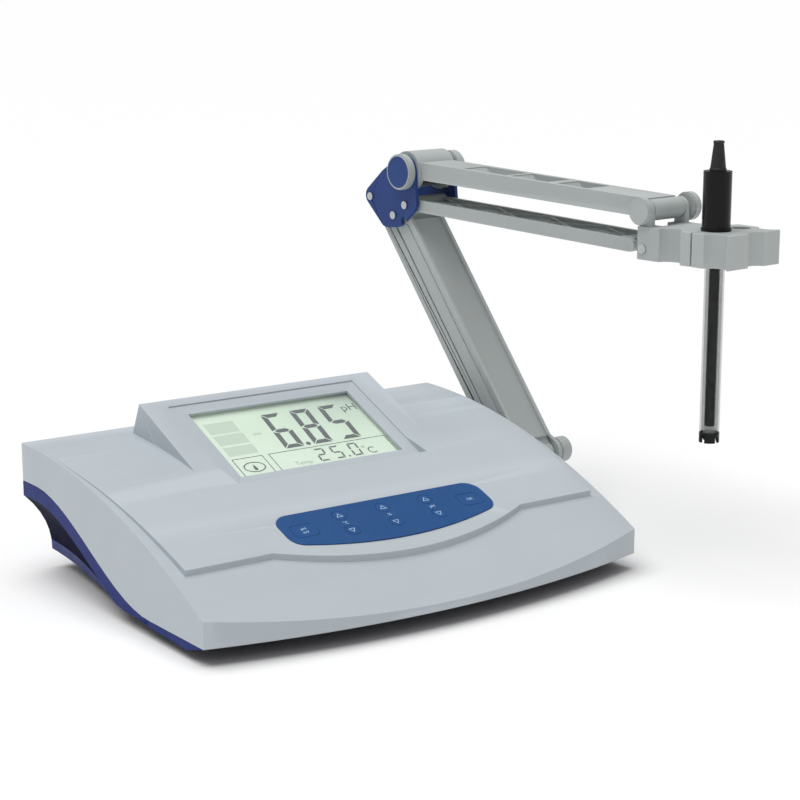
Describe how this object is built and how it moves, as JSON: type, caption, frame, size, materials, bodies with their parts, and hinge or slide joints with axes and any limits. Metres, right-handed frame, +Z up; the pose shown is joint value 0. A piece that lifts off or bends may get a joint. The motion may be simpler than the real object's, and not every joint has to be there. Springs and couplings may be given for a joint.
{
  "type": "benchtop ph meter",
  "caption": "Benchtop pH meter with a wedge case, tilted display, membrane keypad and a swivelling parallel-link arm that carries a combination electrode.",
  "frame": {"origin": "on the bench under the middle of the case, between its left and right sides and halfway from the front corners to the rear wall", "axes": "+X to the user's right, +Y from the user to the rear, +Z up"},
  "size_m": [0.3815, 0.3226, 0.2509],
  "materials": {
    "upper_case": "satin textured moulding",
    "lower_case": "satin moulding",
    "rear_panel": "matte moulding",
    "display_window": "clear gloss",
    "lcd_panel": "satin film",
    "backlight": "diffusing sheet",
    "main_board": "solder resist",
    "key_board": "solder resist",
    "key_domes": "stamped",
    "keypad_sheet": "printed film",
    "rubber_feet": "matte",
    "case_screws": "plated",
    "board_screws": "plated",
    "electrode_socket": "plated",
    "reference_terminal": "satin",
    "temperature_socket": "plated",
    "power_inlet": "matte",
    "switch_housing": "matte",
    "arm_bracket": "zinc plated",
    "bracket_screws": "plated",
    "swivel_bush": "matte",
    "key_mode": "printed film button",
    "key_confirm": "printed film button",
    "key_temp_up": "printed film button",
    "key_temp_down": "printed film button",
    "key_slope_up": "printed film button",
    "key_slope_down": "printed film button",
    "key_cal_up": "printed film button",
    "key_cal_down": "printed film button",
    "power_rocker": "satin",
    "swivel_post": "plated",
    "post_clip": "plated",
    "arm_foot": "satin moulding",
    "shoulder_pins": "plated",
    "shoulder_knob": "satin moulding",
    "front_link": "satin moulding",
    "rear_link": "satin moulding",
    "elbow_cheek_left": "satin moulding",
    "elbow_cheek_right": "satin moulding",
    "elbow_rivets": "plated",
    "elbow_bolt": "plated",
    "elbow_cap": "gloss moulding",
    "cap_badge": "satin disc",
    "balance_spring": "plated",
    "elbow_knob": "satin moulding",
    "upper_link": "satin moulding",
    "truss_link": "satin moulding",
    "electrode_holder": "satin moulding",
    "wrist_bolt": "plated",
    "wrist_cap": "satin moulding",
    "holder_pin": "plated",
    "wrist_knob": "satin moulding",
    "electrode_cap": "gloss moulding",
    "electrode_boot": "matte",
    "electrode_tube": "clear",
    "electrode_stem": "clear",
    "glass_bulb": "clear",
    "tip_guard": "matte"
  },
  "bodies": {
    "case": {"upper_case": "upper_case", "lower_case": "lower_case", "rear_panel": "rear_panel", "display_window": "display_window", "lcd_panel": "lcd_panel", "backlight": "backlight", "main_board": "main_board", "key_board": "key_board", "key_domes": "key_domes", "keypad_sheet": "keypad_sheet", "rubber_feet": "rubber_feet", "case_screws": "case_screws", "board_screws": "board_screws", "electrode_socket": "electrode_socket", "reference_terminal": "reference_terminal", "temperature_socket": "temperature_socket", "power_inlet": "power_inlet", "switch_housing": "switch_housing", "arm_bracket": "arm_bracket", "bracket_screws": "bracket_screws", "swivel_bush": "swivel_bush"},
    "key_mode": {"key_mode": "key_mode"},
    "key_confirm": {"key_confirm": "key_confirm"},
    "key_temp_up": {"key_temp_up": "key_temp_up"},
    "key_temp_down": {"key_temp_down": "key_temp_down"},
    "key_slope_up": {"key_slope_up": "key_slope_up"},
    "key_slope_down": {"key_slope_down": "key_slope_down"},
    "key_cal_up": {"key_cal_up": "key_cal_up"},
    "key_cal_down": {"key_cal_down": "key_cal_down"},
    "rocker": {"power_rocker": "power_rocker"},
    "swivel": {"swivel_post": "swivel_post", "post_clip": "post_clip", "arm_foot": "arm_foot", "shoulder_pins": "shoulder_pins"},
    "shoulder_knob": {"shoulder_knob": "shoulder_knob"},
    "front_link": {"front_link": "front_link"},
    "rear_link": {"rear_link": "rear_link"},
    "elbow": {"elbow_cheek_left": "elbow_cheek_left", "elbow_cheek_right": "elbow_cheek_right", "elbow_rivets": "elbow_rivets", "elbow_bolt": "elbow_bolt", "elbow_cap": "elbow_cap", "cap_badge": "cap_badge", "balance_spring": "balance_spring"},
    "elbow_knob": {"elbow_knob": "elbow_knob"},
    "upper_link": {"upper_link": "upper_link"},
    "truss_link": {"truss_link": "truss_link"},
    "holder": {"electrode_holder": "electrode_holder", "wrist_bolt": "wrist_bolt", "wrist_cap": "wrist_cap", "holder_pin": "holder_pin"},
    "wrist_knob": {"wrist_knob": "wrist_knob"},
    "electrode": {"electrode_cap": "electrode_cap", "electrode_boot": "electrode_boot", "electrode_tube": "electrode_tube", "electrode_stem": "electrode_stem", "glass_bulb": "glass_bulb", "tip_guard": "tip_guard"}
  },
  "joints": [
    {"name": "key_mode_press", "type": "slide", "parent": "case", "child": "key_mode", "axis": [0, 0.3469, -0.9379], "range_m": [0, 0.0003], "stiffness_N_per_m": 2000},
    {"name": "key_confirm_press", "type": "slide", "parent": "case", "child": "key_confirm", "axis": [0, 0.3469, -0.9379], "range_m": [0, 0.0003], "stiffness_N_per_m": 2000},
    {"name": "key_temp_up_press", "type": "slide", "parent": "case", "child": "key_temp_up", "axis": [0, 0.3469, -0.9379], "range_m": [0, 0.0003], "stiffness_N_per_m": 2000},
    {"name": "key_temp_down_press", "type": "slide", "parent": "case", "child": "key_temp_down", "axis": [0, 0.3469, -0.9379], "range_m": [0, 0.0003], "stiffness_N_per_m": 2000},
    {"name": "key_slope_up_press", "type": "slide", "parent": "case", "child": "key_slope_up", "axis": [0, 0.3469, -0.9379], "range_m": [0, 0.0003], "stiffness_N_per_m": 2000},
    {"name": "key_slope_down_press", "type": "slide", "parent": "case", "child": "key_slope_down", "axis": [0, 0.3469, -0.9379], "range_m": [0, 0.0003], "stiffness_N_per_m": 2000},
    {"name": "key_cal_up_press", "type": "slide", "parent": "case", "child": "key_cal_up", "axis": [0, 0.3469, -0.9379], "range_m": [0, 0.0003], "stiffness_N_per_m": 2000},
    {"name": "key_cal_down_press", "type": "slide", "parent": "case", "child": "key_cal_down", "axis": [0, 0.3469, -0.9379], "range_m": [0, 0.0003], "stiffness_N_per_m": 2000},
    {"name": "rocker_tip", "type": "hinge", "parent": "case", "child": "rocker", "pos_m": [-0.078, 0.097, 0.033], "axis": [1, 0, 0], "range_deg": [0, 16]},
    {"name": "arm_swivel", "type": "hinge", "parent": "case", "child": "swivel", "pos_m": [0.186, 0.0535, 0.02], "axis": [0, 0, 1], "range_deg": [-10, 34]},
    {"name": "lower_lean", "type": "hinge", "parent": "swivel", "child": "front_link", "pos_m": [0.18707, 0.04125, 0.0348], "axis": [0.9962, 0.0872, 0], "range_deg": [0, 60]},
    {"name": "rear_lean", "type": "hinge", "parent": "swivel", "child": "rear_link", "pos_m": [0.18498, 0.06516, 0.0457], "axis": [0.9962, 0.0872, 0], "range_deg": [0, 60]},
    {"name": "elbow_level", "type": "hinge", "parent": "front_link", "child": "elbow", "pos_m": [0.17681, 0.15856, 0.18391], "axis": [0.9962, 0.0872, 0], "range_deg": [-60, 0]},
    {"name": "upper_lift", "type": "hinge", "parent": "elbow", "child": "upper_link", "pos_m": [0.17772, 0.1481, 0.21421], "axis": [0.9962, 0.0872, 0], "range_deg": [-30, 15]},
    {"name": "truss_lift", "type": "hinge", "parent": "elbow", "child": "truss_link", "pos_m": [0.17784, 0.1468, 0.19181], "axis": [0.9962, 0.0872, 0], "range_deg": [-30, 15]},
    {"name": "holder_level", "type": "hinge", "parent": "upper_link", "child": "holder", "pos_m": [0.19654, -0.06698, 0.20742], "axis": [0.9962, 0.0872, 0], "range_deg": [-15, 30]},
    {"name": "electrode_lift", "type": "slide", "parent": "holder", "child": "electrode", "axis": [0, 0, 1], "range_m": [0, 0.06]},
    {"name": "shoulder_knob_turn", "type": "hinge", "parent": "swivel", "child": "shoulder_knob", "pos_m": [0.18707, 0.04125, 0.0348], "axis": [0.9962, 0.0872, 0], "continuous": true},
    {"name": "elbow_knob_turn", "type": "hinge", "parent": "elbow", "child": "elbow_knob", "pos_m": [0.17772, 0.1481, 0.21421], "axis": [0.9962, 0.0872, 0], "continuous": true},
    {"name": "wrist_knob_turn", "type": "hinge", "parent": "holder", "child": "wrist_knob", "pos_m": [0.19654, -0.06698, 0.20742], "axis": [0.9962, 0.0872, 0], "continuous": true}
  ],
  "couplings": [
    {"joint": "rear_lean", "follows": "lower_lean", "ratio": 1},
    {"joint": "elbow_level", "follows": "lower_lean", "ratio": -1},
    {"joint": "truss_lift", "follows": "upper_lift", "ratio": 1},
    {"joint": "holder_level", "follows": "upper_lift", "ratio": -1}
  ]
}
